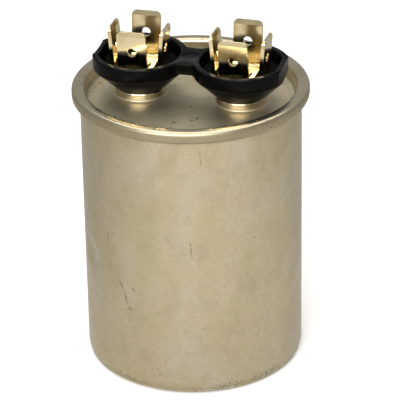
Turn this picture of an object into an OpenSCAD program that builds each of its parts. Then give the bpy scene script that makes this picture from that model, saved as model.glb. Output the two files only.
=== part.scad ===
// Motor run capacitor: a sealed round aluminium can with two quick-connect terminals.
// Millimetres. Origin at the middle of the base, +Z up, +X along the line of the terminals.

/* [Can] */
// Outside diameter of the can body
can_d = 47.4; // [46:0.1:56]
// Height over the rolled seam
can_h = 63.5; // [56:0.5:100]
// Thickness of the can wall
can_wall = 0.4; // [0.3:0.05:0.5]
// Thickness of the can base
can_base = 0.6; // [0.4:0.1:1]
// Outside radius between base and wall
can_corner_r = 2.4; // [1.6:0.1:3.2]
// Distance by which the wall steps in at the neck under the seam
neck_in = 0.15; // [0.12:0.01:0.3]
// Height of the neck's slope
neck_h = 0.6; // [0.4:0.1:1.2]

/* [Double seam] */
// Height of the seam
seam_h = 2.75; // [2.6:0.05:3.2]
// Play between the folded layers
seam_gap = 0.15; // [0.1:0.01:0.16]
// Room for sealing compound under the crown
compound_gap = 0.2; // [0.14:0.02:0.26]
// Height by which the two hooks stop short of the folds
hook_gap = 0.15; // [0.1:0.05:0.2]
// Inside radius of the crown's two corners
crown_r = 0.45; // [0.42:0.01:0.6]

/* [Cover] */
// Thickness of the cover sheet
cover_t = 0.5; // [0.45:0.05:0.6]
// Depth of the panel below the crown
panel_depth = 3.5; // [3.4:0.1:6]
// Radius between panel and upright wall
panel_r = 0.7; // [0.5:0.1:1.2]
// Outside diameter of the two drawn bosses
boss_d = 10.9; // [10.8:0.1:12]
// Height of the bosses above the panel
boss_h = 1.9; // [1.7:0.1:2.6]
// Radius at the foot of a boss
boss_foot_r = 0.4; // [0.2:0.1:0.6]
// Radius at the shoulder of a boss
boss_shoulder_r = 0.5; // [0.5:0.05:0.7]
// Diameter of the hole in each boss
boss_hole_d = 6.6; // [6.2:0.1:7]

/* [Terminal cup] */
// Distance between the two terminals
pitch = 22.2; // [21.6:0.1:24]
// Outside diameter of each cup
cup_d = 20.4; // [19.6:0.1:21]
// Height of the cup's rim above the bosses
cup_h = 7.6; // [7:0.1:9]
// Height of the upright band under the rim
band_h = 3; // [2.8:0.1:3.6]
// Thickness of the round walls at the rim
cup_wall = 1.4; // [1.1:0.1:1.6]
// Length over the two cut-off ends
cup_l = 40.7; // [40:0.1:42]
// Thickness of the flat end walls
end_wall = 1; // [0.8:0.1:1.4]
// Thickness of the cup floor
floor_t = 3; // [2.6:0.1:3.4]
// Diameter of the flat floor inside
floor_d = 14; // [13.2:0.1:14.6]
// Depth of the bridge between the cups, front to back
bridge_w = 8.9; // [7:0.1:11]
// Height of the bridge
bridge_h = 2.6; // [2:0.1:2.8]
// Radius of the hollow corners beside the bridge
bridge_r = 1.2; // [0.8:0.1:1.4]
// Rounding of the rim edges
rim_r = 0.35; // [0.2:0.05:0.5]
// Diameter of the round gate recess on the bridge
gate_d = 3.8; // [3:0.1:4.6]
// Depth of the gate recess
gate_depth = 0.2; // [0.1:0.05:0.4]

/* [Tab strips] */
// Width of a blade (quarter-inch quick connect)
tab_w = 6.35; // [6:0.05:6.5]
// Thickness of the strip
tab_t = 0.8; // [0.6:0.05:0.85]
// Height of a strip from its underside to its tips
tab_h = 10.7; // [10:0.1:13]
// Distance between the middles of the front and rear blades at their feet
tab_span_y = 10.4; // [10:0.1:10.8]
// Distance between the middles of the left and right blades at their feet
tab_span_x = 9.9; // [9.6:0.1:10.4]
// Outward lean of each blade, in degrees
tab_lean = 5; // [0:0.5:7]
// Inside radius of the bends
tab_bend_r = 0.5; // [0.3:0.05:0.6]
// Rounding of the tip's corners
tab_tip_r = 1.1; // [0.6:0.1:1.6]
// Thickness taken off each face by the tip's bevel
tab_bevel_t = 0.22; // [0.1:0.02:0.28]
// Length of the tip's bevel
tab_bevel_l = 1; // [0.6:0.1:1.4]
// Diameter of the detent hole
tab_hole_d = 2; // [1.6:0.1:2.4]
// Distance of the detent hole from the tip
tab_hole_drop = 4.7; // [4:0.1:5.2]
// Turn of the left terminal about its rivet, in degrees
left_turn = 0; // [-4:0.5:4]
// Turn of the right terminal about its rivet, in degrees
right_turn = -2; // [-4:0.5:4]

/* [Rivets and seals] */
// Diameter of a rivet's shank
rivet_d = 3.9; // [3:0.1:4.1]
// Play round a rivet's shank
rivet_play = 0.05; // [0.03:0.01:0.1]
// Diameter of the formed head on top
rivet_top_d = 4.8; // [4.6:0.1:5.4]
// Height of the formed head on top
rivet_top_h = 0.45; // [0.3:0.05:0.7]
// Diameter of the head inside the can
rivet_head_d = 6; // [5.4:0.1:6.6]
// Thickness of the head inside the can
rivet_head_h = 0.8; // [0.5:0.1:1.2]
// Thickness of the gasket
gasket_t = 0.6; // [0.4:0.1:0.9]
// Play between moulded parts and the sheet round them
seat_play = 0.1; // [0.05:0.01:0.15]
// Thickness of the inner bushing
bushing_t = 1.2; // [1:0.1:1.6]
// Play between the inner bushing and the wall of its boss
bushing_play = 0.35; // [0.2:0.05:0.5]
// Outside diameter of the inner washer
washer_d = 7.2; // [6.8:0.1:7.4]
// Thickness of the inner washer
washer_t = 0.5; // [0.4:0.1:0.8]

/* [Leads] */
// Thickness of the lead strips
lead_t = 0.3; // [0.2:0.05:0.4]
// Width of the lead strips
lead_w = 3; // [2.4:0.1:3.4]
// Outside diameter of the eye round the rivet
lead_eye_d = 6.8; // [6.4:0.1:7.2]
// Inside radius of the bends
lead_bend_r = 0.6; // [0.4:0.1:0.8]
// Length of the foot that is soldered to the roll
lead_foot = 6; // [4:0.5:8]
// Distance from the can's axis at which the lower lead enters the core
lead_core_x = 1.2; // [0.8:0.1:1.4]

/* [Roll] */
// Diameter of the wound film roll
roll_d = 42; // [38:0.1:42.4]
// Outside diameter of the core tube
core_d = 8; // [7.6:0.1:10]
// Wall of the core tube
core_wall = 1; // [0.6:0.1:1.2]
// Length by which the core tube stands out of the upper contact layer
core_proud = 0.8; // [0.4:0.1:1.4]
// Thickness of the sprayed contact layer at each end
contact_t = 0.6; // [0.4:0.1:1]
// Bare edge of the roll outside a contact layer
contact_edge = 0.3; // [0.1:0.1:1]
// Thickness of the outer wrap
wrap_t = 0.35; // [0.2:0.05:0.4]
// Length by which the wrap stands past the upper contact layer
wrap_proud = 1.4; // [0.6:0.1:1.8]
// Play between the parts of the roll
roll_play = 0.05; // [0.03:0.01:0.1]

/* [Insulators] */
// Thickness of the tray's floor under the roll
tray_t = 1; // [0.8:0.1:1.4]
// Room between the tray's floor and the roll
tray_rise = 1.8; // [1.4:0.1:2.4]
// Height of the tray's wall
tray_h = 9; // [6:0.5:14]
// Thickness of the tray's wall
tray_wall = 0.8; // [0.6:0.1:0.9]
// Diameter of the ring that carries the roll
tray_ring_d = 33; // [30:0.5:36]
// Width of the carrying rings of tray and plate
ring_w = 1.5; // [1:0.1:2]
// Thickness of the interrupter plate over the roll
plate_t = 1.2; // [1:0.1:1.6]
// Room between the roll and the interrupter plate
plate_rise = 2.6; // [2.4:0.1:3.2]
// Distance from the roll's edge in to the ring under the interrupter plate
plate_ring_inset = 1.5; // [1:0.1:3]
// Play between the plate's edge and the can
plate_play = 0.6; // [0.3:0.1:1]
// Play of a lead in its slot
slot_play = 0.25; // [0.15:0.05:0.4]
// Diameter of the four oil holes in the plate
oil_hole_d = 3; // [2:0.5:4]
// Diameter of the circle on which the oil holes lie
oil_circle_d = 26; // [22:0.5:30]
// Room between the interrupter plate and the rivet heads
head_room = 2.2; // [2:0.1:6]

/* [Hidden] */
$fn = 96;

// Length by which a cut runs past the faces that it opens
past = 1;

// Radii through the double seam, from the can wall outwards
can_r = can_d / 2;
bore_r = can_r - can_wall;
neck_r = can_r - neck_in;
neck_bore_r = neck_r - can_wall;
cover_hook_r = neck_r + seam_gap;
can_hook_r = cover_hook_r + cover_t + seam_gap;
skirt_r = can_hook_r + can_wall + seam_gap;
seam_r = skirt_r + cover_t;
chuck_r = neck_bore_r - seam_gap - cover_t;

// Levels through the double seam
crown_under = can_h - cover_t;
can_crown = crown_under - compound_gap;
seam_foot = can_h - seam_h;
neck_z = seam_foot - neck_h;
cover_fold_r = (seam_r - cover_hook_r) / 2;
cover_fold_z = seam_foot + cover_fold_r;

// Levels of the cover and the terminal stack, from the panel up
panel_z = can_h - panel_depth;
boss_z = panel_z + boss_h;
boss_r = boss_d / 2;
floor_z = boss_z + floor_t;
band_z = boss_z + cup_h - band_h;
rim_z = boss_z + cup_h;
upper_strip_z = floor_z + tab_t;
strips_top_z = upper_strip_z + tab_t;

// The same stack, from the cover down into the can
spigot_r = boss_hole_d / 2 - seat_play;
bushing_top_z = boss_z - cover_t;
bushing_z = bushing_top_z - bushing_t;
eye_z = bushing_z - lead_t;
washer_z = eye_z - washer_t;
rivet_foot_z = washer_z - rivet_head_h;
rivet_hole_r = rivet_d / 2 + rivet_play;
gasket_r = boss_r - boss_shoulder_r - seat_play;
bushing_r = boss_r - cover_t - bushing_play;
lead_bend_out = lead_bend_r + lead_t;
lead_drop_x = pitch / 2 - washer_d / 2 - lead_bend_out;

// Cup
cup_r = cup_d / 2;
well_r = cup_r - cup_wall;
// Run of the well's slope, from the flat floor out to the round wall
slope_run = well_r - floor_d / 2;

// Roll, from the base up
roll_foot_z = can_base + tray_t + tray_rise;
film_z = roll_foot_z + contact_t;
plate_z = rivet_foot_z - head_room - plate_t;
lead_jog_z = rivet_foot_z - head_room / 2;
roll_top_z = plate_z - plate_rise;
film_top_z = roll_top_z - contact_t;
core_r = core_d / 2;
core_bore_r = core_r - core_wall;
contact_r = roll_d / 2 - contact_edge;
wrap_r = roll_d / 2 + roll_play;
tray_r = wrap_r + wrap_t + seat_play + tray_wall;

// Quarter of a flat ring about the origin, in the quadrant that qx and qy name
module quarter_ring(r_in, r_out, qx, qy) {
    intersection() {
        difference() {
            circle(r_out);
            if (r_in > 0) circle(r_in);
        }
        translate([min(qx, 0) * r_out, min(qy, 0) * r_out]) square(r_out);
    }
}

// Rectangle from one corner to the opposite one
module span(x0, y0, x1, y1) {
    translate([x0, y0]) square([x1 - x0, y1 - y0]);
}

// Places its child at the left (-1) or right (1) terminal
module at_terminal(side) {
    translate([side * pitch / 2, 0, 0]) children();
}

module at_both_terminals() {
    for (side = [-1, 1]) at_terminal(side) children();
}

// Drawn can, with a slight neck and its flange folded over and down as the seam's inner hook
module can() {
    corner_in = can_corner_r - can_wall;
    fold_out = crown_r;
    fold_in = max(crown_r - can_wall, 0);
    hook_end = seam_foot + cover_t + hook_gap + seam_gap;
    color("#b8ad8f") rotate_extrude() {
        span(0, 0, can_r - can_corner_r, can_base);
        translate([can_r - can_corner_r, 0]) intersection() {
            translate([0, can_corner_r]) circle(can_corner_r);
            difference() {
                square([can_corner_r, can_corner_r]);
                translate([0, can_base + corner_in]) circle(corner_in);
                translate([0, can_base + corner_in]) square(corner_in);
            }
        }
        span(bore_r, can_corner_r, can_r, neck_z);
        polygon([[bore_r, neck_z], [can_r, neck_z], [neck_r, seam_foot], [neck_bore_r, seam_foot]]);
        span(neck_bore_r, seam_foot, neck_r, can_crown - fold_out);
        translate([neck_bore_r + fold_out, can_crown - fold_out])
            quarter_ring(fold_in, fold_out, -1, 1);
        span(neck_bore_r + fold_out, can_crown - can_wall,
            can_hook_r + can_wall - fold_out, can_crown);
        translate([can_hook_r + can_wall - fold_out, can_crown - fold_out])
            quarter_ring(fold_in, fold_out, 1, 1);
        span(can_hook_r, hook_end, can_hook_r + can_wall, can_crown - fold_out);
    }
}

// Half-section of the cover's rim: wall, crown, skirt, fold and hook, then the foot radius
module cover_rim_section() {
    crown_out = crown_r + cover_t;
    foot_out = panel_r + cover_t;
    hook_end = can_crown - can_wall - hook_gap;
    span(chuck_r, panel_z + panel_r, chuck_r + cover_t, can_h - crown_out);
    translate([chuck_r + crown_out, can_h - crown_out]) quarter_ring(crown_r, crown_out, -1, 1);
    span(chuck_r + crown_out, crown_under, seam_r - crown_out, can_h);
    translate([seam_r - crown_out, can_h - crown_out]) quarter_ring(crown_r, crown_out, 1, 1);
    span(skirt_r, cover_fold_z, seam_r, can_h - crown_out);
    translate([seam_r - cover_fold_r, cover_fold_z]) {
        quarter_ring(cover_fold_r - cover_t, cover_fold_r, 1, -1);
        quarter_ring(cover_fold_r - cover_t, cover_fold_r, -1, -1);
    }
    span(cover_hook_r, cover_fold_z, cover_hook_r + cover_t, hook_end);
    translate([chuck_r - panel_r, panel_z + panel_r]) quarter_ring(panel_r, foot_out, 1, -1);
}

// Half-section of one drawn boss with the sheet round its foot
module boss_section() {
    rim = boss_r + boss_foot_r;
    shoulder_in = max(boss_shoulder_r - cover_t, 0);
    span(boss_hole_d / 2, boss_z - cover_t, boss_r - boss_shoulder_r, boss_z);
    translate([boss_r - boss_shoulder_r, boss_z - boss_shoulder_r])
        quarter_ring(shoulder_in, boss_shoulder_r, 1, 1);
    span(boss_r - cover_t, panel_z + boss_foot_r, boss_r, boss_z - boss_shoulder_r);
    translate([rim, panel_z + boss_foot_r])
        quarter_ring(boss_foot_r, boss_foot_r + cover_t, -1, -1);
    span(rim, panel_z - cover_t, rim + 2 * boss_foot_r, panel_z);
}

// Stamped cover, with its edge curled over the can's flange and tucked under it
module cover() {
    panel_hole_r = boss_r + 2 * boss_foot_r;
    color("#a59a7f") union() {
        rotate_extrude() cover_rim_section();
        difference() {
            translate([0, 0, panel_z - cover_t]) cylinder(r = chuck_r - panel_r, h = cover_t);
            at_both_terminals() translate([0, 0, panel_z - cover_t - past])
                cylinder(r = panel_hole_r, h = cover_t + 2 * past);
        }
        at_both_terminals() rotate_extrude() boss_section();
    }
}

// Ring of sealing compound between the can's flange and the crown
module seam_compound() {
    play = compound_gap / 10;
    color("#3d3a36") rotate_extrude()
        span(neck_bore_r + crown_r, can_crown + play,
            can_hook_r + can_wall - crown_r, crown_under - play);
}

// Half-section of one cup's outside: cone, upright band and rounded rim
module cup_section() {
    polygon([[0, boss_z], [boss_r, boss_z], [cup_r, band_z], [cup_r, rim_z - rim_r], [0, rim_z - rim_r]]);
    span(0, rim_z - 2 * rim_r, cup_r - rim_r, rim_z);
    translate([cup_r - rim_r, rim_z - rim_r]) circle(rim_r);
}

// Half-section of the well inside a cup, with its rounded mouth
module well_section() {
    polygon([[0, floor_z], [floor_d / 2, floor_z], [well_r, floor_z + slope_run],
        [well_r, rim_z + past], [0, rim_z + past]]);
    difference() {
        span(well_r - rim_r, rim_z - rim_r, well_r + rim_r, rim_z + past);
        translate([well_r + rim_r, rim_z - rim_r]) circle(rim_r);
    }
}

// Material in the hollow corner between the bridge and the right-hand cup
module bridge_corner() {
    centre_y = bridge_w / 2 + bridge_r;
    centre_x = pitch / 2 - sqrt(pow(cup_r + bridge_r, 2) - pow(centre_y, 2));
    share = cup_r / (cup_r + bridge_r);
    touch_x = pitch / 2 - (pitch / 2 - centre_x) * share;
    touch_y = centre_y * share;
    difference() {
        polygon([[centre_x, 0], [centre_x, centre_y], [touch_x, touch_y], [pitch / 2, 0]]);
        translate([centre_x, centre_y]) circle(bridge_r);
    }
}

// Bridge with rounded upper edges and hollow corners into the cups
module bridge() {
    translate([0, 0, rim_z - bridge_h]) {
        rotate([90, 0, 90]) linear_extrude(pitch - cup_wall, center = true) {
            span(-bridge_w / 2, 0, bridge_w / 2, bridge_h - rim_r);
            span(-bridge_w / 2 + rim_r, 0, bridge_w / 2 - rim_r, bridge_h);
            for (side = [-1, 1])
                translate([side * (bridge_w / 2 - rim_r), bridge_h - rim_r]) circle(rim_r);
        }
        linear_extrude(bridge_h - rim_r)
            for (mx = [0, 1], my = [0, 1])
                mirror([mx, 0]) mirror([0, my]) bridge_corner();
    }
}

// Twin cup: two barrier cups and their bridge, moulded in one piece
module terminal_cup() {
    recess_r = gasket_r + seat_play;
    recess_in_r = spigot_r + seat_play;
    color("#26262a") difference() {
        union() {
            intersection() {
                union() {
                    at_both_terminals() rotate_extrude() cup_section();
                    bridge();
                }
                translate([-cup_l / 2, -cup_d, 0]) cube([cup_l, 2 * cup_d, 2 * can_h]);
            }
            at_both_terminals() translate([0, 0, boss_z - cover_t]) cylinder(r = spigot_r, h = 2 * cover_t);
        }
        intersection() {
            at_both_terminals() rotate_extrude() well_section();
            translate([end_wall - cup_l / 2, -cup_d, 0])
                cube([cup_l - 2 * end_wall, 2 * cup_d, 2 * can_h]);
        }
        at_both_terminals() {
            translate([0, 0, boss_z - cup_h]) cylinder(r = rivet_hole_r, h = 2 * cup_h);
            translate([0, 0, boss_z - cover_t / 2]) difference() {
                cylinder(r = recess_r, h = gasket_t + cover_t / 2);
                cylinder(r = recess_in_r, h = 2 * gasket_t + cover_t);
            }
        }
        translate([0, 0, rim_z - gate_depth]) cylinder(d = gate_d, h = gate_depth + past);
    }
}

// Side view of a strip and its two blades: length along x, height along y, underside on y = 0
module strip_side(bend_x, length) {
    face = tab_bend_r;
    back = tab_bend_r + tab_t;
    span(-bend_x, 0, bend_x, tab_t);
    for (side = [0, 1]) mirror([side, 0]) translate([bend_x, back]) {
        intersection() {
            quarter_ring(face, back, 1, -1);
            rotate(-tab_lean) span(-back, -2 * back, 2 * back, 0);
        }
        rotate(-tab_lean)
            polygon([[face, 0], [back, 0], [back, length - tab_bevel_l],
                [back - tab_bevel_t, length], [face + tab_bevel_t, length], [face, length - tab_bevel_l]]);
    }
}

// What the press takes off a blade: the tip's two corners and the detent hole.
// A corner's arc is centred a little nearer to the edges than its radius, and so crosses them.
module blade_cuts(length) {
    inset = 0.97 * tab_tip_r;
    translate([0, tab_bend_r + 2 * tab_t, 0]) rotate([90, 0, 0]) linear_extrude(3 * tab_t) {
        for (side = [-1, 1]) translate([side * (tab_w / 2 - inset), length - inset]) difference() {
            span(min(side, 0) * 2 * tab_tip_r, 0, max(side, 0) * 2 * tab_tip_r, 2 * tab_tip_r);
            circle(tab_tip_r);
        }
        translate([0, length - tab_hole_drop]) circle(d = tab_hole_d);
    }
}

// Bent strip with two facing blades, its underside on z = 0 and its length along y
module tab_strip(feet) {
    bend_y = feet / 2 - (tab_bend_r + tab_t / 2) * cos(tab_lean);
    bend_z = tab_bend_r + tab_t;
    length = (tab_h - bend_z + (tab_bend_r + tab_t / 2) * sin(tab_lean)) / cos(tab_lean);
    difference() {
        rotate([90, 0, 90]) linear_extrude(tab_w, center = true) strip_side(bend_y, length);
        for (turn = [0, 180]) rotate([0, 0, turn])
            translate([0, bend_y, bend_z]) rotate([-tab_lean, 0, 0]) blade_cuts(length);
        translate([0, 0, -tab_t]) cylinder(r = rivet_hole_r, h = 3 * tab_t);
    }
}

module long_tabs(side, turn) {
    color("#d9c48c") at_terminal(side) rotate([0, 0, turn])
        translate([0, 0, upper_strip_z]) tab_strip(tab_span_y);
}

module side_tabs(side, turn) {
    color("#cbb67f") at_terminal(side) rotate([0, 0, turn + 90])
        translate([0, 0, floor_z]) tab_strip(tab_span_x);
}

// Rivet with a flat head inside the can and a low formed head on the strips
module rivet(side) {
    edge = rivet_top_h / 2;
    color("#c9a85c") at_terminal(side) {
        translate([0, 0, rivet_foot_z]) cylinder(d = rivet_head_d, h = rivet_head_h);
        translate([0, 0, washer_z]) cylinder(d = rivet_d, h = strips_top_z - washer_z);
        translate([0, 0, strips_top_z]) {
            cylinder(d = rivet_top_d, h = rivet_top_h - edge);
            translate([0, 0, rivet_top_h - edge])
                cylinder(d1 = rivet_top_d, d2 = rivet_top_d - 2 * edge, h = edge);
        }
    }
}

// Flat ring about a terminal's axis
module ring(side, outer_r, inner_r, z, height) {
    at_terminal(side) translate([0, 0, z]) difference() {
        cylinder(r = outer_r, h = height);
        translate([0, 0, -past]) cylinder(r = inner_r, h = height + 2 * past);
    }
}

module gasket(side) {
    color("#4a2f28") ring(side, gasket_r, spigot_r + 2 * seat_play, boss_z, gasket_t);
}

module bushing(side) {
    color("#8c6a3c") ring(side, bushing_r, rivet_hole_r, bushing_z, bushing_t);
}

module washer(side) {
    color("#c8ccce") ring(side, washer_d / 2, rivet_hole_r, washer_z, washer_t);
}

// One bend of a lead strip about the point (x, z), in the quadrant that qx and qz name
module lead_bend(x, z, qx, qz) {
    translate([x, z]) quarter_ring(lead_bend_r, lead_bend_out, qx, qz);
}

// Side view of a strip that comes in at level z from the right, turns down at x,
// and ends in a foot of the given level that points back to the right
module lead_drop(x, z, foot_z) {
    lead_bend(x + lead_bend_out, z + lead_t - lead_bend_out, -1, 1);
    span(x, foot_z + lead_bend_out, x + lead_t, z + lead_t - lead_bend_out);
    lead_bend(x + lead_bend_out, foot_z + lead_bend_out, -1, -1);
    span(x + lead_bend_out, foot_z, x + lead_bend_out + lead_foot, foot_z + lead_t);
}

// Side view of the upper lead: straight down onto the roll
module upper_lead_side() {
    lead_drop(lead_drop_x, eye_z, roll_top_z);
}

// Side view of the lower lead: down past the rivet, in to the core, and down through it
module lower_lead_side() {
    jog_x = lead_drop_x + lead_t - lead_bend_out;
    lead_bend(lead_drop_x + lead_bend_out, eye_z + lead_t - lead_bend_out, -1, 1);
    span(lead_drop_x, lead_jog_z + lead_bend_out,
        lead_drop_x + lead_t, eye_z + lead_t - lead_bend_out);
    lead_bend(jog_x, lead_jog_z + lead_bend_out, 1, -1);
    span(lead_core_x + lead_bend_out, lead_jog_z, jog_x, lead_jog_z + lead_t);
    lead_drop(lead_core_x, lead_jog_z, roll_foot_z - lead_t);
}

// Lead strip: eye round the rivet, then the side view that is its child
module lead(side) {
    color("#c4c8ca") mirror([side < 0 ? 1 : 0, 0, 0]) difference() {
        union() {
            translate([pitch / 2, 0, eye_z]) cylinder(d = lead_eye_d, h = lead_t);
            translate([0, lead_w / 2, 0]) rotate([90, 0, 0]) linear_extrude(lead_w) {
                span(lead_drop_x + lead_bend_out, eye_z, pitch / 2, eye_z + lead_t);
                children();
            }
        }
        translate([pitch / 2, 0, eye_z - past]) cylinder(r = rivet_hole_r, h = lead_t + 2 * past);
    }
}

// Metallised film roll, its turns as one solid
module winding() {
    color("#d8d3c4") translate([0, 0, film_z]) difference() {
        cylinder(d = roll_d, h = film_top_z - film_z);
        translate([0, 0, -past])
            cylinder(r = core_r + roll_play, h = film_top_z - film_z + 2 * past);
    }
}

module core_tube() {
    foot = roll_foot_z + contact_t / 2;
    color("#e4e2da") translate([0, 0, foot]) difference() {
        cylinder(r = core_r, h = roll_top_z + core_proud - foot);
        translate([0, 0, -past]) cylinder(r = core_bore_r, h = can_h);
    }
}

module outer_wrap() {
    color("#c9b98d") translate([0, 0, roll_foot_z]) difference() {
        cylinder(r = wrap_r + wrap_t, h = roll_top_z + wrap_proud - roll_foot_z);
        translate([0, 0, -past]) cylinder(r = wrap_r, h = can_h);
    }
}

// Sprayed zinc over one end of the roll
module contact_layer(z) {
    color("#8f9498") translate([0, 0, z]) difference() {
        cylinder(r = contact_r, h = contact_t);
        translate([0, 0, -past]) cylinder(r = core_r + roll_play, h = contact_t + 2 * past);
    }
}

// Moulded tray that keeps the roll off the can's base and wall
module bottom_tray() {
    ring_r = tray_ring_d / 2;
    corner = can_corner_r - can_wall;
    color("#e8e6df") translate([0, 0, can_base]) rotate_extrude() {
        span(0, 0, tray_r - corner, tray_t);
        translate([tray_r - corner, corner]) difference() {
            quarter_ring(0, corner, 1, -1);
            if (corner > tray_wall) quarter_ring(0, corner - tray_wall, 1, -1);
        }
        span(tray_r - tray_wall, corner, tray_r, tray_h);
        span(ring_r - ring_w, 0, ring_r, tray_t + tray_rise);
    }
}

// Fixed plate that holds the leads, so that they part if the cover bulges
module interrupter_plate() {
    plate_r = bore_r - plate_play;
    ring_r = roll_d / 2 - plate_ring_inset;
    slot_l = lead_w + 2 * slot_play;
    color("#d9d4c6") difference() {
        union() {
            translate([0, 0, plate_z]) cylinder(r = plate_r, h = plate_t);
            translate([0, 0, roll_top_z]) difference() {
                cylinder(r = ring_r, h = plate_rise + plate_t);
                translate([0, 0, -past]) cylinder(r = ring_r - ring_w, h = plate_rise + past);
            }
        }
        for (x = [-lead_core_x - lead_t, lead_drop_x])
            translate([x - slot_play, -slot_l / 2, plate_z - past])
                cube([lead_t + 2 * slot_play, slot_l, plate_t + 2 * past]);
        for (turn = [45:90:315]) rotate([0, 0, turn])
            translate([oil_circle_d / 2, 0, plate_z - past])
                cylinder(d = oil_hole_d, h = plate_t + 2 * past);
    }
}

can();
cover();
seam_compound();
terminal_cup();
rivet(-1);  // left_rivet
long_tabs(-1, left_turn);  // left_long_tabs
side_tabs(-1, left_turn);  // left_side_tabs
gasket(-1);  // left_gasket
bushing(-1);  // left_bushing
washer(-1);  // left_washer
lead(-1) lower_lead_side();  // left_lead
rivet(1);  // right_rivet
long_tabs(1, right_turn);  // right_long_tabs
side_tabs(1, right_turn);  // right_side_tabs
gasket(1);  // right_gasket
bushing(1);  // right_bushing
washer(1);  // right_washer
lead(1) upper_lead_side();  // right_lead
winding();
core_tube();
outer_wrap();
contact_layer(film_top_z);  // upper_contact_layer
contact_layer(roll_foot_z);  // lower_contact_layer
bottom_tray();
interrupter_plate();
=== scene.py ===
from math import atan2, cos, degrees, hypot, pi, radians, sin, sqrt

import bmesh
import bpy
from mathutils import Matrix, Quaternion, Vector


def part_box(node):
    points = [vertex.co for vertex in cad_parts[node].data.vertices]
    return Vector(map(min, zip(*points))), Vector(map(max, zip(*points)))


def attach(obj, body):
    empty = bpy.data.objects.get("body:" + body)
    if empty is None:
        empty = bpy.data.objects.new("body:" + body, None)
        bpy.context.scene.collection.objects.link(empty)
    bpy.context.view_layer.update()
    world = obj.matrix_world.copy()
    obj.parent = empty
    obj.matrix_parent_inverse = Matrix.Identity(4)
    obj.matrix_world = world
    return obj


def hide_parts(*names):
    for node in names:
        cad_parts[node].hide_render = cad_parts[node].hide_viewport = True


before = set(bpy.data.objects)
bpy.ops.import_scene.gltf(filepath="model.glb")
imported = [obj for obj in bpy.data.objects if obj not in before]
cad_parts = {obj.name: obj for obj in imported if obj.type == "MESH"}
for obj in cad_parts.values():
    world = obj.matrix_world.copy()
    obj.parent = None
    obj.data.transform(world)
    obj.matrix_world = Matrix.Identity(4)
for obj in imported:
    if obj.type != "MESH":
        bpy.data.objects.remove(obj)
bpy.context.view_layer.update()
MM = 0.001

# ---- Camera -----------------------------------------------------------------------------
camera = bpy.data.objects.new("camera", bpy.data.cameras.new("camera"))
bpy.context.scene.collection.objects.link(camera)
bpy.context.scene.camera = camera
camera.location = Vector((130.98, -476.26, 290.37)) * MM
aim = Vector((1.50, 0.41, 35.10)) * MM
upright = (aim - camera.location).to_track_quat("-Z", "Y")
camera.rotation_mode = "QUATERNION"
camera.rotation_quaternion = upright @ Quaternion((0, 0, 1), radians(-1.02))
camera.data.sensor_width = 36
camera.data.lens = 229.67
camera.data.clip_start = 0.05


# ---- Building blocks of the finishes ----------------------------------------------------
def linear(hex_colour):
    """sRGB hex to the linear colour that a shader takes."""
    parts = [int(hex_colour[i:i + 2], 16) / 255 for i in (1, 3, 5)]
    return [c / 12.92 if c <= 0.04045 else ((c + 0.055) / 1.055) ** 2.4 for c in parts] + [1]


def feed(tree, value, socket):
    """Gives a socket a node's result, another socket's, or a value of its own."""
    if isinstance(value, bpy.types.Node):
        value = next(s for s in value.outputs if s.enabled)
    if isinstance(value, bpy.types.NodeSocket):
        tree.links.new(value, socket)
    else:
        socket.default_value = value


def add(tree, kind, *inputs, **settings):
    """Adds one node. Settings are its properties, or sockets by name; inputs feed its
    sockets in their order."""
    node = tree.nodes.new("ShaderNode" + kind)
    for name, value in settings.items():
        if hasattr(node, name):
            setattr(node, name, value)
        else:
            feed(tree, value, node.inputs[name])
    for socket, value in zip([s for s in node.inputs if s.enabled], inputs):
        feed(tree, value, socket)
    return node


def new_material(name, colour, metallic, roughness):
    """Principled material with its uniform values on the shader's own sockets."""
    material = bpy.data.materials.new(name)
    material.use_nodes = True
    shader = material.node_tree.nodes["Principled BSDF"]
    shader.inputs["Base Color"].default_value = linear(colour)
    shader.inputs["Metallic"].default_value = metallic
    shader.inputs["Roughness"].default_value = roughness
    return material, material.node_tree, shader


def grains(tree, size_mm, detail=2, stretch=(1, 1, 1)):
    """Uneven pattern on the object's own coordinates, its grains about size_mm across."""
    place = add(tree, "TexCoord").outputs["Object"]
    stretched = add(tree, "Mapping", place, Scale=stretch)
    return add(tree, "TexNoise", stretched, 1 / (size_mm * MM), detail).outputs["Fac"]


def mark(tree, start, end, reach_mm):
    """1 on the line between two points in mm, fading to 0 at this distance from it."""
    start, end, reach = Vector(start) * MM, Vector(end) * MM, reach_mm * MM
    along = end - start
    turn = along.to_track_quat("Z", "Y").to_euler()
    size = (reach, reach, max((along.length + reach) / 2, reach))
    place = add(tree, "TexCoord").outputs["Object"]
    fitted = add(tree, "Mapping", place, (start + end) / 2, turn, size, vector_type="TEXTURE")
    return add(tree, "TexGradient", fitted, gradient_type="SPHERICAL").outputs["Fac"]


def tint(tree, colour, over, pattern, low, high, share=1):
    """Lays one colour over another: none of it where a pattern is low, this share of it
    where the pattern is high."""
    amount = add(tree, "MapRange", pattern, low, high, 0, share)
    return add(tree, "Mix", amount, colour, linear(over), data_type="RGBA")


def relief(tree, shader, *layers):
    """Raises the surface by layers of (pattern, depth in mm), one upon another."""
    lower = {}
    for pattern, depth_mm in layers:
        raised = add(tree, "Bump", Strength=1, Distance=depth_mm * MM, Height=pattern, **lower)
        lower = {"Normal": raised}
    feed(tree, raised, shader.inputs["Normal"])


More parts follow.
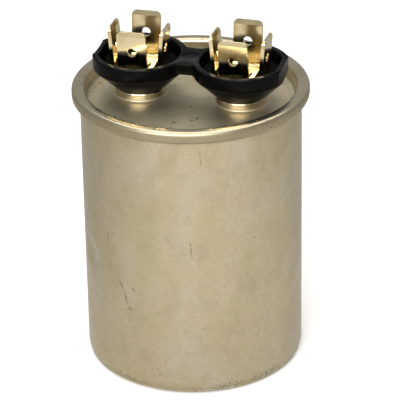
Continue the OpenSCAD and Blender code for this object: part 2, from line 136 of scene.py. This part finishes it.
# Sizes in millimetres that the CAD solids also have
CAN_R, CAN_WALL, CORNER_R, BASE_T = 23.7, 0.4, 2.4, 0.6
NECK_R, NECK_Z, SEAM_FOOT, FLANGE_Z = 23.55, 60.15, 60.75, 62.8
CHUCK_R, SEAM_R, RIM_Z, PANEL_Z, SHEET = 22.5, 25.4, 63.5, 60.0, 0.5
BOSS_R, BOSS_Z, BOSS_HOLE_R, HOOK_R, HOOK_Z = 5.45, 61.9, 3.3, 23.7, 62.2
PITCH, CUP_R, WELL_R, CUP_TOP, BAND_Z, FLOOR_Z = 22.2, 10.2, 8.8, 69.5, 66.5, 64.9
SPIGOT_R, GASKET_R, GASKET_T = 3.2, 4.95, 0.6
CUP_END, END_WALL, FLOOR_R = 20.35, 1.0, 7.0
BRIDGE_Y, BRIDGE_Z, BRIDGE_R, GATE_R, GATE_DEPTH = 4.45, 66.9, 1.2, 1.9, 0.2
RIVET_HOLE_R, RIVET_HEAD_R, RIVET_HEAD_T = 2.0, 3.0, 0.8
TAB_W, TAB_T, TAB_H, TAB_BEND_R, TAB_TIP_R = 6.35, 0.8, 10.7, 0.5, 1.1
TIP_BEVEL_T, TIP_BEVEL_L, DETENT_R, DETENT_DROP = 0.22, 1.0, 1.0, 4.7
LONG_FEET, SIDE_FEET = 10.4, 9.9
# The blades lean out, and the right terminal is turned by this many degrees
LEAN, RIGHT_TURN = radians(5), -2

# Marks on the can's wall, in mm: strokes and hairlines as (start, end, reach), painted shade
# that darkens the can's flanks as (start, end, reach, share), and the chafed edge of the base
SCRATCHES = (((-10.9, -21.0, 25.6), (-9.7, -21.6, 23.2), 0.5),
             ((-9.8, -21.6, 23.4), (-8.7, -22.1, 19.1), 0.45),
             ((-8.8, -22.0, 19.3), (-7.4, -22.5, 19.0), 0.4),
             ((-7.4, -22.5, 24.0), (-7.0, -22.6, 24.2), 0.7),
             ((7.8, -22.4, 59.0), (8.0, -22.3, 54.8), 0.3),
             ((5.5, -23.0, 38.0), (5.9, -23.0, 32.5), 0.19),
             ((-13.6, -19.4, 36.0), (-13.5, -19.5, 33.0), 0.25))
SHADED_FLANKS = (((-23.5, -10, 4), (-23.5, -10, 62), 18, 0.5),
        ((24.5, -1, 6), (24.5, -1, 60), 7, 0.4),
        ((24, -4, 2), (23.5, -4, 16), 7, 0.3))
WEAR = (((8.5, -21.9, 1.5), (16.6, -16.7, 1.5), 1.7),
        ((16.6, -16.7, 1.5), (22.0, -8.4, 2.2), 1.5),
        ((-13.5, -19.3, 2.0), (-5.0, -23.0, 1.6), 1.2))
# Shallow dents in the wall, in mm: (middle, radius, depth)
DENTS = (((-18.8, -14.4, 27.5), 4.5, 0.5),
         ((-13.2, -19.7, 23), 4, 0.2),
         ((9, -21.9, 47), 9, 0.1))


# ---- Finishes ---------------------------------------------------------------------------
def drawn_aluminium():
    """Aluminium, deep drawn and washed but not polished: a warm satin skin with cloudy
    patches and faint stains, fine upright drawing lines and pits, and on a used can
    scratches and a base edge chafed dark and bright. The flanks are darkened with painted shade."""
    material, tree, shader = new_material("drawn_aluminium", "#c0b496", 1, 0.3)
    waves = grains(tree, 16, 1, (1, 1, 0.5))
    clouds = grains(tree, 8, 3, (1, 1, 0.6))
    stains = grains(tree, 4.5, 4, (1, 1, 0.7))
    fine = grains(tree, 1.0, 3)
    # Real pits and drawing lines are 0.1 to 0.2 mm across: these are coarser, so they show
    pits = grains(tree, 0.6, 1)
    lines = grains(tree, 0.35, 2, (1, 1, 0.03))
    crumbs = grains(tree, 0.45)

    colour = tint(tree, linear("#bbb08d"), "#c0b496", clouds, 0.32, 0.5)
    colour = tint(tree, colour, "#c3b9a3", clouds, 0.5, 0.68)
    colour = tint(tree, colour, "#ab9f83", fine, 0.35, 0.65, 0.25)
    colour = tint(tree, colour, "#5f5747", pits, 0.70, 0.78, 0.4)
    colour = tint(tree, colour, "#a3967a", stains, 0.5, 0.68, 0.3)
    # Painted shade: the can's flanks are coloured darker, as if turned away from the light
    for start, end, reach, share in SHADED_FLANKS:
        colour = tint(tree, colour, "#91856a", mark(tree, start, end, reach), 0, 0.8, share)

    def strongest(marks):
        """The strength of the mark that is strongest at each place."""
        found = mark(tree, *marks[0])
        for one in marks[1:]:
            found = add(tree, "Math", found, mark(tree, *one), operation="MAXIMUM")
        return found

    def broken_up(area, most, low, high, at_low, at_high):
        """An area of marks times the crumbs, which break it up."""
        return add(tree, "Math", add(tree, "MapRange", area, 0.1, 0.5, 0, most),
                   add(tree, "MapRange", crumbs, low, high, at_low, at_high),
                   operation="MULTIPLY")

    worn = strongest(WEAR)
    scratched = broken_up(strongest(SCRATCHES), 1, 0.42, 0.55, 0.15, 1)
    chafed = broken_up(worn, 1, 0.45, 0.6, 0, 1)
    rubbed_bright = broken_up(worn, 0.55, 0.35, 0.5, 1, 0)
    colour = tint(tree, colour, "#6e6349", scratched, 0, 1, 0.6)
    colour = tint(tree, colour, "#6b5f48", chafed, 0, 1, 0.5)
    colour = tint(tree, colour, "#dacfb0", rubbed_bright, 0, 1)
    feed(tree, colour, shader.inputs["Base Color"])
    feed(tree, add(tree, "MapRange", fine, 0.3, 0.7, 0.25, 0.34), shader.inputs["Roughness"])
    hollow = add(tree, "Math", scratched, chafed, operation="MAXIMUM")
    intact = add(tree, "Math", 1, hollow, operation="SUBTRACT")
    relief(tree, shader, (waves, 0.5), (clouds, 0.1), (fine, 0.02), (lines, 0.006),
           (pits, 0.012), (intact, 0.06))
    return material


def pressed_aluminium():
    """Aluminium sheet, stamped: matte on the flat from the rolled stock's grain, burnished
    by the tool where it was drawn over an edge, duller on the skirt and coloured darker there as
    painted shade, with dark specks."""
    material, tree, shader = new_material("pressed_aluminium", "#bfb398", 1, 0.5)
    clouds = grains(tree, 7, 3)
    # The real grain is about 0.1 mm across: this one is coarser, so that it shows
    grain = grains(tree, 0.5)
    specks = grains(tree, 0.9, 1)
    place = add(tree, "TexCoord").outputs["Object"]
    height = add(tree, "SeparateXYZ", place).outputs["Z"]
    level = add(tree, "Mapping", place, Scale=(1, 1, 0))
    radius = add(tree, "VectorMath", level, operation="LENGTH")
    low, high = (PANEL_Z + 0.3) * MM, (PANEL_Z + 0.8) * MM
    panel = add(tree, "MapRange", height, low, high, 1, 0)
    skirt = add(tree, "MapRange", radius, (SEAM_R - 0.4) * MM, (SEAM_R - 0.1) * MM, 0, 1)

    colour = tint(tree, linear("#b4a88c"), "#c3b89f", clouds, 0.35, 0.65)
    colour = tint(tree, colour, "#3b352b", specks, 0.70, 0.76, 0.85)
    # Painted shade: the skirt's outer face is coloured darker than the rest of the same sheet
    colour = tint(tree, colour, "#857a5c", skirt, 0, 1, 0.55)
    feed(tree, colour, shader.inputs["Base Color"])
    flat = add(tree, "MapRange", panel, 0, 1, 0.24, 0.5)
    edge = add(tree, "MapRange", skirt, 0, 1, 0, 0.46)
    feed(tree, add(tree, "Math", flat, edge, operation="MAXIMUM"), shader.inputs["Roughness"])
    rolled = add(tree, "Math", grain, panel, operation="MULTIPLY")
    relief(tree, shader, (clouds, 0.04), (rolled, 0.006))
    return material


def rolled_brass(name, colour, tarnish, roughness):
    """Brass strip, rolled and thinly plated: mirror-like, with faint rolling lines and a
    little tarnish."""
    material, tree, shader = new_material(name, colour, 1, roughness)
    stain = grains(tree, 3, 4)
    # Real rolling lines are finer than 0.1 mm: these are coarser, so that they show
    lines = grains(tree, 0.25, 2, (1, 1, 0.06))
    colour = tint(tree, linear(colour), tarnish, stain, 0.45, 0.75, 0.6)
    feed(tree, colour, shader.inputs["Base Color"])
    feed(tree, add(tree, "MapRange", stain, 0.4, 0.7, roughness, roughness + 0.1),
         shader.inputs["Roughness"])
    relief(tree, shader, (stain, 0.006), (lines, 0.0008))
    return material


def moulded_plastic(name, colour, roughness, reflectance):
    """Injection-moulded plastic: an even colour under a satin skin, with the faint flow of
    the melt and a very fine texture."""
    material, tree, shader = new_material(name, colour, 0, roughness)
    shader.inputs["Specular IOR Level"].default_value = reflectance
    # The real texture is about 0.05 mm across: this one is coarser, so that it shows
    grain = grains(tree, 0.3)
    flow = grains(tree, 5)
    feed(tree, add(tree, "MapRange", flow, 0.35, 0.65, roughness - 0.05, roughness + 0.07),
         shader.inputs["Roughness"])
    relief(tree, shader, (flow, 0.03), (grain, 0.003))
    return material


def grained(name, colour, second, metallic, roughness, size_mm, depth_mm, stretch=(1, 1, 1)):
    """Two-tone grain with its relief, for the parts inside the can."""
    material, tree, shader = new_material(name, colour, metallic, roughness)
    grain = grains(tree, size_mm, 3, stretch)
    feed(tree, tint(tree, linear(colour), second, grain, 0.35, 0.65),
         shader.inputs["Base Color"])
    relief(tree, shader, (grain, depth_mm))
    return material


tab_metal = rolled_brass("rolled_brass", "#dccca3", "#b59f6c", 0.09)
rivet_metal = rolled_brass("formed_brass", "#cdb77f", "#a38a55", 0.16)
black_plastic = moulded_plastic("moulded_black_plastic", "#040404", 0.24, 0.08)


# ---- Building blocks of the meshes, in millimetres --------------------------------------
CREASE, FINE_CREASE = 38, 10


def shade(mesh, below):
    """Smooth shading, creased at every edge that turns by more than this many degrees."""
    mesh.polygons.foreach_set("use_smooth", [True] * len(mesh.polygons))
    mesh.set_sharp_from_angle(angle=radians(below))


def finished(name, bm, finish, node):
    """Closes a bmesh as a piece that stands for a CAD node."""
    bmesh.ops.scale(bm, vec=(MM, MM, MM), verts=bm.verts)
    mesh = bpy.data.meshes.new(name)
    bm.to_mesh(mesh)
    bm.free()
    mesh.materials.append(finish)
    shade(mesh, CREASE)
    piece = bpy.data.objects.new(name, mesh)
    bpy.context.scene.collection.objects.link(piece)
    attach(piece, "root")
    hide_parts(node)
    return piece


def apply_modifiers(piece):
    """Makes the modifiers' result the piece's own mesh, creased at its fine bevels too."""
    evaluated = piece.evaluated_get(bpy.context.evaluated_depsgraph_get())
    mesh = bpy.data.meshes.new_from_object(evaluated)
    piece.modifiers.clear()
    piece.data = mesh
    shade(mesh, FINE_CREASE)


def whole(bm):
    """All that a bmesh holds."""
    return bm.verts[:] + bm.edges[:] + bm.faces[:]


def outwards(bm):
    """Merges doubles and turns all faces outwards."""
    bmesh.ops.remove_doubles(bm, verts=bm.verts, dist=1e-4)
    bmesh.ops.recalc_face_normals(bm, faces=bm.faces)


def wire(bm, points):
    """A chain of edges through points, as the start of a spin."""
    verts = [bm.verts.new(p) for p in points]
    return verts + [bm.edges.new(pair) for pair in zip(verts, verts[1:])]


def spin(bm, geom, centre, turn, steps):
    """Turns geometry about an upright axis and returns what the last step made."""
    made = bmesh.ops.spin(bm, geom=geom, cent=(*centre, 0), axis=(0, 0, 1), dvec=(0, 0, 0),
                          angle=radians(turn), steps=steps, use_merge=abs(turn) == 360,
                          use_duplicate=False)
    return made["geom_last"]


def lathe(bm, profile, centre=(0, 0), steps=256):
    """A full turn of a profile of (radius, height) points."""
    start = [(centre[0] + r, centre[1], z) for r, z in profile]
    spin(bm, wire(bm, start), centre, 360, steps)


def rings(bm, radius, height, centre=(0, 0)):
    """The edges of a turned ring, by its radius and height."""
    def on(v):
        return (abs(hypot(v.co.x - centre[0], v.co.y - centre[1]) - radius) < 1e-3
                and abs(v.co.z - height) < 1e-3)
    return [e for e in bm.edges if all(on(v) for v in e.verts)]


def flat_edges(bm, axis, place):
    """Edges that lie in the plane where one coordinate has this value."""
    return [e for e in bm.edges if all(abs(v.co[axis] - place) < 1e-4 for v in e.verts)]


def sharp_edges(bm, least=30):
    """Edges whose faces turn by more than this many degrees."""
    return [e for e in bm.edges
            if len(e.link_faces) == 2 and e.calc_face_angle() > radians(least)]


def line(bm, a, b):
    """An edge between the vertices nearest to two points, made new where there is none."""
    def vertex(point):
        near = min(bm.verts, key=lambda v: (v.co - Vector(point)).length)
        return near if (near.co - Vector(point)).length < 1e-3 else bm.verts.new(point)
    ends = vertex(a), vertex(b)
    return bm.edges.get(ends) or bm.edges.new(ends)


def soften(bm, edges, offset, segments):
    """Rounds edges."""
    bmesh.ops.bevel(bm, geom=edges, offset=offset, offset_type="OFFSET", segments=segments,
                    profile=0.5, affect="EDGES", material=-1, clamp_overlap=False,
                    loop_slide=True)


# ---- Can --------------------------------------------------------------------------------
def can():
    """One closed shell, its wall in rows that are fine enough to take the dents."""
    bm = bmesh.new()
    rows, lowest, base_ring = 80, 3, 12
    step = (NECK_Z - lowest) / rows
    wall = [(CAN_R, lowest + i * step) for i in range(rows + 1)]
    inner_neck, inner_r = NECK_R - CAN_WALL, CAN_R - CAN_WALL
    lathe(bm, [(0, 0), (base_ring, 0), (CAN_R, 0), *wall, (NECK_R, SEAM_FOOT),
               (NECK_R, FLANGE_Z), (inner_neck, FLANGE_Z), (inner_neck, SEAM_FOOT),
               (inner_r, NECK_Z), (inner_r, BASE_T), (0, BASE_T)])
    outwards(bm)
    soften(bm, rings(bm, CAN_R, 0), CORNER_R, 10)
    for v in bm.verts:
        for middle, radius, depth in DENTS:
            away = min((v.co - Vector(middle)).length / radius, 1)
            v.co.xy *= 1 - depth / CAN_R * (1 - away * away) ** 2
    finished("can_shell", bm, drawn_aluminium(), "can")


# ---- Cover ------------------------------------------------------------------------------
def cover():
    """The sheet's outer skin, thickened inwards: panel, bosses, crown, skirt and hook."""
    bm = bmesh.new()
    panel_r, boss_foot_r = 20.8, 6.6
    lathe(bm, [(panel_r, PANEL_Z), (CHUCK_R, PANEL_Z), (CHUCK_R, RIM_Z), (SEAM_R, RIM_Z),
               (SEAM_R, SEAM_FOOT), (HOOK_R, SEAM_FOOT), (HOOK_R, HOOK_Z)])
    outline = rings(bm, panel_r, PANEL_Z)
    middles = [(x, 0) for x in (-PITCH / 2, PITCH / 2)]
    for middle in middles:
        lathe(bm, [(boss_foot_r, PANEL_Z), (BOSS_R, PANEL_Z), (BOSS_R, BOSS_Z),
                   (BOSS_HOLE_R, BOSS_Z)], middle, 96)
        outline += rings(bm, boss_foot_r, PANEL_Z, middle)
    bmesh.ops.triangle_fill(bm, use_beauty=True, edges=outline, normal=(0, 0, 1))
    outwards(bm)
    if max(bm.faces, key=lambda f: f.calc_area()).normal.z < 0:
        bmesh.ops.reverse_faces(bm, faces=bm.faces)
    # Each bend's ring, with its radius and its segments
    crown, fold = 0.95, (SEAM_R - HOOK_R) / 2 - 0.01
    for radius, height, offset, segments in (
            (CHUCK_R, PANEL_Z, 0.7, 5), (CHUCK_R, RIM_Z, crown, 7), (SEAM_R, RIM_Z, crown, 7),
            (SEAM_R, SEAM_FOOT, fold, 5), (HOOK_R, SEAM_FOOT, fold, 5)):
        soften(bm, rings(bm, radius, height), offset, segments)
    for middle in middles:
        soften(bm, rings(bm, BOSS_R, PANEL_Z, middle), 0.4, 4)
        soften(bm, rings(bm, BOSS_R, BOSS_Z, middle), 0.5, 5)
    piece = finished("cover_pressing", bm, pressed_aluminium(), "cover")
    sheet = piece.modifiers.new("sheet", "SOLIDIFY")
    sheet.thickness, sheet.offset, sheet.use_even_offset = SHEET * MM, -1, True


# ---- Terminal cup -----------------------------------------------------------------------
def cut_flat(bm, x, radius):
    """Cuts a cup's turned wall off at an upright plane and closes the cut."""
    bmesh.ops.bisect_plane(bm, geom=whole(bm), dist=1e-5, plane_co=(x, 0, 0),
                           plane_no=(1, 0, 0), clear_outer=True)
    lowest = min(v.co.z for e in flat_edges(bm, 0, x) for v in e.verts)
    line(bm, (x, 0, CUP_TOP), (x, sqrt(radius ** 2 - (x - PITCH / 2) ** 2), CUP_TOP))
    line(bm, (x, 0, CUP_TOP), (x, 0, lowest))
    bmesh.ops.contextual_create(bm, geom=flat_edges(bm, 0, x))


def turn_half(bm, profile, centre, touch):
    """Half a turn of a profile of (radius, height) points, with a step at this angle."""
    start = wire(bm, [(centre[0] + r, 0, z) for r, z in profile])
    spin(bm, spin(bm, start, centre, touch, 40), centre, 180 - touch, 8)


def cup_quarter():
    """The outside, the well, the gate's recess and the flat faces of one quarter."""
    bm = bmesh.new()
    centre = (PITCH / 2, 0)
    # Fillet between bridge and cup, and where it touches the cup
    fillet_y = BRIDGE_Y + BRIDGE_R
    fillet_x = centre[0] - sqrt((CUP_R + BRIDGE_R) ** 2 - fillet_y ** 2)
    touch = degrees(atan2(fillet_y, fillet_x - centre[0]))
    touch_x = centre[0] - (centre[0] - fillet_x) * CUP_R / (CUP_R + BRIDGE_R)
    spigot_z = BOSS_Z - SHEET
    turn_half(bm, [(RIVET_HOLE_R, spigot_z), (SPIGOT_R, spigot_z),
                   (SPIGOT_R, BOSS_Z + GASKET_T), (GASKET_R, BOSS_Z + GASKET_T),
                   (GASKET_R, BOSS_Z), (BOSS_R, BOSS_Z), (CUP_R, BAND_Z), (CUP_R, BRIDGE_Z)],
              centre, touch)
    # The band above the bridge's underside, on into the fillet and the bridge's wall
    band = wire(bm, [(centre[0] + CUP_R, 0, z) for z in (BRIDGE_Z, CUP_TOP)])
    band = spin(bm, band, centre, touch, 40)
    ends = [g for g in band if not isinstance(g, bmesh.types.BMFace)]
    ends = spin(bm, ends, (fillet_x, fillet_y), 90 - touch, 8)
    ends = [g for g in ends if isinstance(g, bmesh.types.BMEdge)]
    for made in bmesh.ops.extrude_edge_only(bm, edges=ends)["geom"]:
        if isinstance(made, bmesh.types.BMVert):
            made.co.x = 0
    bmesh.ops.remove_doubles(bm, verts=bm.verts, dist=1e-4)
    cut_flat(bm, CUP_END, CUP_R)
    # The well: rivet hole, floor, slope and wall
    well = bmesh.new()
    turn_half(well, [(RIVET_HOLE_R, spigot_z), (RIVET_HOLE_R, FLOOR_Z), (FLOOR_R, FLOOR_Z),
                     (WELL_R, FLOOR_Z + WELL_R - FLOOR_R), (WELL_R, CUP_TOP)], centre, touch)
    inner_end = CUP_END - END_WALL
    cut_flat(well, inner_end, WELL_R)
    spare = bpy.data.meshes.new("well")
    well.to_mesh(spare)
    well.free()
    bm.from_mesh(spare)
    bpy.data.meshes.remove(spare)
    bmesh.ops.remove_doubles(bm, verts=bm.verts, dist=1e-4)
    # The gate's recess, in the middle of the bridge
    gate_z = CUP_TOP - GATE_DEPTH
    spin(bm, wire(bm, [(GATE_R, 0, gate_z), (GATE_R, 0, CUP_TOP)]), (0, 0), 90, 12)
    line(bm, (0, 0, gate_z), (GATE_R, 0, gate_z))
    line(bm, (0, 0, gate_z), (0, GATE_R, gate_z))
    bmesh.ops.contextual_create(bm, geom=flat_edges(bm, 2, gate_z))
    # Top face
    line(bm, (0, GATE_R, CUP_TOP), (0, BRIDGE_Y, CUP_TOP))
    line(bm, (GATE_R, 0, CUP_TOP), (centre[0] - WELL_R, 0, CUP_TOP))
    line(bm, (inner_end, 0, CUP_TOP), (CUP_END, 0, CUP_TOP))
    bmesh.ops.contextual_create(bm, geom=flat_edges(bm, 2, CUP_TOP))
    # The bridge's underside, without the arc of the cup beyond the fillet
    line(bm, (0, 0, BRIDGE_Z), (0, BRIDGE_Y, BRIDGE_Z))
    line(bm, (0, 0, BRIDGE_Z), (centre[0] - CUP_R, 0, BRIDGE_Z))
    bottom = [e for e in flat_edges(bm, 2, BRIDGE_Z) if e.is_boundary or e.is_wire]
    beyond = [e for e in bottom
              if all(hypot(v.co.x - centre[0], v.co.y) < CUP_R + 1e-3 and v.co.x > touch_x
                     for v in e.verts)]
    bmesh.ops.contextual_create(bm, geom=[e for e in bottom if e not in beyond])
    return bm


def terminal_cup():
    """The quarter, mirrored twice, with its visible edges eased as a mould's are."""
    bm = cup_quarter()
    for axis in ("Y", "X"):
        bmesh.ops.mirror(bm, geom=whole(bm), axis=axis, merge_dist=1e-4)
    outwards(bm)

    def on_gate(v):
        return hypot(v.co.x, v.co.y) < GATE_R + 0.1

    def eased(v):
        """Above the gasket's recess, and neither on the gate nor on the rivet's hole."""
        from_hole = hypot(abs(v.co.x) - PITCH / 2, v.co.y) - RIVET_HOLE_R
        return v.co.z > BOSS_Z + GASKET_T + 0.1 and from_hole > 0.2 and not on_gate(v)

    soften(bm, [e for e in sharp_edges(bm) if all(eased(v) for v in e.verts)], 0.3, 4)
    soften(bm, [e for e in sharp_edges(bm) if all(on_gate(v) for v in e.verts)], 0.06, 2)
    finished("cup_moulding", bm, black_plastic, "terminal_cup")


# ---- Tab strips -------------------------------------------------------------------------
def tab_strip(name, node, x, turn, z, feet):
    """Middle surface of one half, mirrored, thickened and eased at its edges."""
    bm = bmesh.new()
    mid_r, half = TAB_BEND_R + TAB_T / 2, TAB_W / 2
    bend_y, bend_z = feet / 2 - mid_r * cos(LEAN), TAB_BEND_R + TAB_T
    length = (TAB_H - bend_z + mid_r * sin(LEAN)) / cos(LEAN)
    # One blade, upright in the plane where y is mid_r
    for side in (-1, 1):
        corner = side * (half - TAB_TIP_R)
        tip = bm.verts.new((side * half, mid_r, length - TAB_TIP_R))
        bmesh.ops.spin(bm, geom=[tip], cent=(corner, mid_r, length - TAB_TIP_R),
                       axis=(0, 1, 0), angle=-side * pi / 2, steps=12, use_duplicate=False)
        line(bm, (side * half, mid_r, 0), (side * half, mid_r, length - TAB_TIP_R))
    line(bm, (half - TAB_TIP_R, mid_r, length), (TAB_TIP_R - half, mid_r, length))
    line(bm, (-half, mid_r, 0), (half, mid_r, 0))
    bmesh.ops.create_circle(bm, segments=48, radius=DETENT_R,
                            matrix=Matrix.Translation((0, mid_r, length - DETENT_DROP))
                            @ Matrix.Rotation(pi / 2, 4, "X"))
    bmesh.ops.triangle_fill(bm, use_beauty=True, edges=bm.edges[:], normal=(0, 1, 0))
    bmesh.ops.bisect_plane(bm, geom=whole(bm), dist=1e-5,
                           plane_co=(0, 0, length - TIP_BEVEL_L), plane_no=(0, 0, 1))
    bmesh.ops.rotate(bm, verts=bm.verts, cent=(0, 0, 0), matrix=Matrix.Rotation(-LEAN, 3, "X"))
    # The bend, down to the level of the foot
    foot = min(bm.edges, key=lambda e: sum(v.co.z for v in e.verts))
    bmesh.ops.spin(bm, geom=[foot, *foot.verts], cent=(0, 0, 0), axis=(1, 0, 0),
                   angle=-(pi / 2 - LEAN), steps=12, use_duplicate=False)
    bmesh.ops.translate(bm, vec=(0, bend_y, bend_z), verts=bm.verts)
    # Half of the foot, with half of the rivet's hole
    level = TAB_T / 2
    start = bm.verts.new((RIVET_HOLE_R, 0, level))
    bmesh.ops.spin(bm, geom=[start], cent=(0, 0, 0), axis=(0, 0, 1), angle=pi, steps=16,
                   use_duplicate=False)
    for side in (-1, 1):
        line(bm, (side * RIVET_HOLE_R, 0, level), (side * half, 0, level))
        line(bm, (side * half, 0, level), (side * half, bend_y, level))
    bmesh.ops.contextual_create(bm, geom=flat_edges(bm, 2, level))
    bmesh.ops.mirror(bm, geom=whole(bm), axis="Y", merge_dist=1e-4)
    outwards(bm)
    # 0 below the bevel of each tip, 1 at its end
    top = max(v.co.z for v in bm.verts)
    tips = [max(0, (v.co.z - top) / (TIP_BEVEL_L * cos(LEAN)) + 1) for v in bm.verts]
    place = Matrix.Translation((x, 0, z)) @ Matrix.Rotation(radians(turn), 4, "Z")
    bmesh.ops.transform(bm, matrix=place, verts=bm.verts)
    piece = finished(name, bm, tab_metal, node)
    group = piece.vertex_groups.new(name="thickness")
    for index, tip in enumerate(tips):
        group.add([index], 1 - min(tip, 1) * 2 * TIP_BEVEL_T / TAB_T, "REPLACE")
    strip = piece.modifiers.new("strip", "SOLIDIFY")
    strip.thickness, strip.offset, strip.use_even_offset = TAB_T * MM, 0, True
    strip.vertex_group = "thickness"
    edge = piece.modifiers.new("edge", "BEVEL")
    edge.width, edge.segments, edge.limit_method = 0.08 * MM, 2, "ANGLE"
    edge.angle_limit = radians(50)
    apply_modifiers(piece)


# ---- Rivets -----------------------------------------------------------------------------
def rivet(name, node, x):
    """Semi-tubular rivet: its end is rolled over into a ring round a shallow pit."""
    bm = bmesh.new()
    low, high = (v.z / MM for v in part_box(node))
    head_z, seat_z, shank_r = low + RIVET_HEAD_T, high - 0.45, 1.95
    ring_r, pit_r, pit_z = 2.4, 0.9, seat_z - 0.3
    lathe(bm, [(0, pit_z), (pit_r, pit_z), (1.25, seat_z), (1.7, high), (2.05, high),
               (ring_r, seat_z + 0.15), (ring_r, seat_z), (shank_r, seat_z),
               (shank_r, head_z), (RIVET_HEAD_R, head_z), (RIVET_HEAD_R, low), (0, low)],
          (x, 0), 64)
    outwards(bm)
    soften(bm, sharp_edges(bm, 20), 0.09, 3)
    finished(name, bm, rivet_metal, node)


can()
cover()
terminal_cup()
for side, x, turn in (("left", -PITCH / 2, 0), ("right", PITCH / 2, RIGHT_TURN)):
    tab_strip(f"{side}_long_blades", f"{side}_long_tabs", x, turn, FLOOR_Z + TAB_T, LONG_FEET)
    tab_strip(f"{side}_side_blades", f"{side}_side_tabs", x, turn + 90, FLOOR_Z, SIDE_FEET)
    rivet(f"{side}_formed_rivet", f"{side}_rivet", x)

# ---- What stays as the CAD has it -------------------------------------------------------
# By a part of the node's name: its finish, as name, two tones, metallic, roughness, grain
# and depth in mm, and what the eye sees of it
INSIDE = {
    # Dull and nearly black, with slight flow marks
    "seam_compound": grained("poured_sealing_compound", "#33302c", "#2a2825", 0, 0.75, 1, 0.02),
    # Dark red-brown, soft and dull
    "gasket": grained("moulded_rubber", "#3a2620", "#2e1e1a", 0, 0.7, 0.4, 0.01),
    # Brown, faintly banded by its layers of paper
    "bushing": grained("paper_laminate", "#8c6a3c", "#76572f", 0, 0.55, 0.5, 0.01, (1, 1, 6)),
    # Bright cool grey with a fine stamped grain
    "washer": grained("plated_steel", "#c6cacc", "#b4b8bb", 1, 0.3, 0.4, 0.002),
    # Bright and smooth, slightly mottled by the tin
    "lead": grained("tinned_copper_strip", "#c9ccce", "#b9bcc0", 1, 0.28, 0.5, 0.002),
    # Pale and silky, with fine upright streaks
    "winding": grained("wound_metallised_film", "#cfcac0", "#bcb6aa", 0.6, 0.35, 0.2, 0.01,
                       (1, 1, 0.05)),
    # Milky and smooth
    "core_tube": grained("extruded_core_plastic", "#e4e2da", "#d6d3c8", 0, 0.5, 0.8, 0.01),
    # Yellowish and glossy, with slight wrinkles
    "outer_wrap": grained("wrap_film", "#c9b98d", "#bdac7e", 0, 0.25, 3, 0.02),
    # Grey and rough, like fine gravel
    "contact_layer": grained("sprayed_zinc", "#8f9498", "#74797d", 0.9, 0.65, 0.35, 0.06),
    # Milky, with broad soft flow marks
    "bottom_tray": grained("moulded_tray_plastic", "#e8e6df", "#dddad1", 0, 0.5, 2, 0.01),
    # Cream, with broad soft flow marks
    "interrupter_plate": grained("moulded_plate_plastic", "#d9d4c6", "#ccc6b6", 0, 0.5, 2, 0.01),
}
for name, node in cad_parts.items():
    if not node.hide_render:
        node.data.materials.clear()
        node.data.materials.append(next(INSIDE[part] for part in INSIDE if part in name))


# ---- Studio -----------------------------------------------------------------------------
def floor_paper():
    """Matte paper: near white itself, and in the metal's reflections a grey that brightens
    towards a pool of light in front of the can on its right."""
    material, tree, shader = new_material("floor_paper", "#f0f0ee", 0, 0.9)
    pool = mark(tree, (70, -140, 0), (70.1, -140, 0), 310)
    mirrored = tint(tree, linear("#9b9996"), "#c7c5c3", pool, 0.1, 0.7)
    seen = add(tree, "LightPath").outputs["Is Camera Ray"]
    feed(tree, tint(tree, mirrored, "#f0f0ee", seen, 0, 1), shader.inputs["Base Color"])
    return material


def soft_lamp(name, place, size, power):
    """An area lamp, in metres and watts, that faces the middle of the can."""
    data = bpy.data.lights.new(name, "AREA")
    data.shape = "RECTANGLE"
    data.size, data.size_y = size
    data.energy = power
    lamp = bpy.data.objects.new(name, data)
    lamp.location = place
    lamp.rotation_mode = "QUATERNION"
    towards = Vector((0, 0, 0.04)) - Vector(place)
    lamp.rotation_quaternion = towards.to_track_quat("-Z", "Y")
    bpy.context.scene.collection.objects.link(lamp)


floor_bm = bmesh.new()
bmesh.ops.create_grid(floor_bm, x_segments=1, y_segments=1, size=5)
floor_mesh = bpy.data.meshes.new("floor")
floor_bm.to_mesh(floor_mesh)
floor_bm.free()
floor_mesh.materials.append(floor_paper())
floor = bpy.data.objects.new("floor", floor_mesh)
bpy.context.scene.collection.objects.link(floor)

soft_lamp("front", (0.03, -0.85, 0.6), (1.0, 0.38), 14)
soft_lamp("overhead", (0, 0.1, 1.2), (1.6, 1.6), 14)

# White where the camera sees it, and dimmer as a light and in reflections
WORLD_LIGHT = 0.45
world = bpy.data.worlds.new("studio")
bpy.context.scene.world = world
world.use_nodes = True
sky = world.node_tree
background = sky.nodes["Background"]
background.inputs["Color"].default_value = linear("#ffffff")
seen = add(sky, "LightPath").outputs["Is Camera Ray"]
feed(sky, add(sky, "MapRange", seen, 0, 1, WORLD_LIGHT, 1), background.inputs["Strength"])
bpy.context.scene.view_settings.view_transform = "Standard"
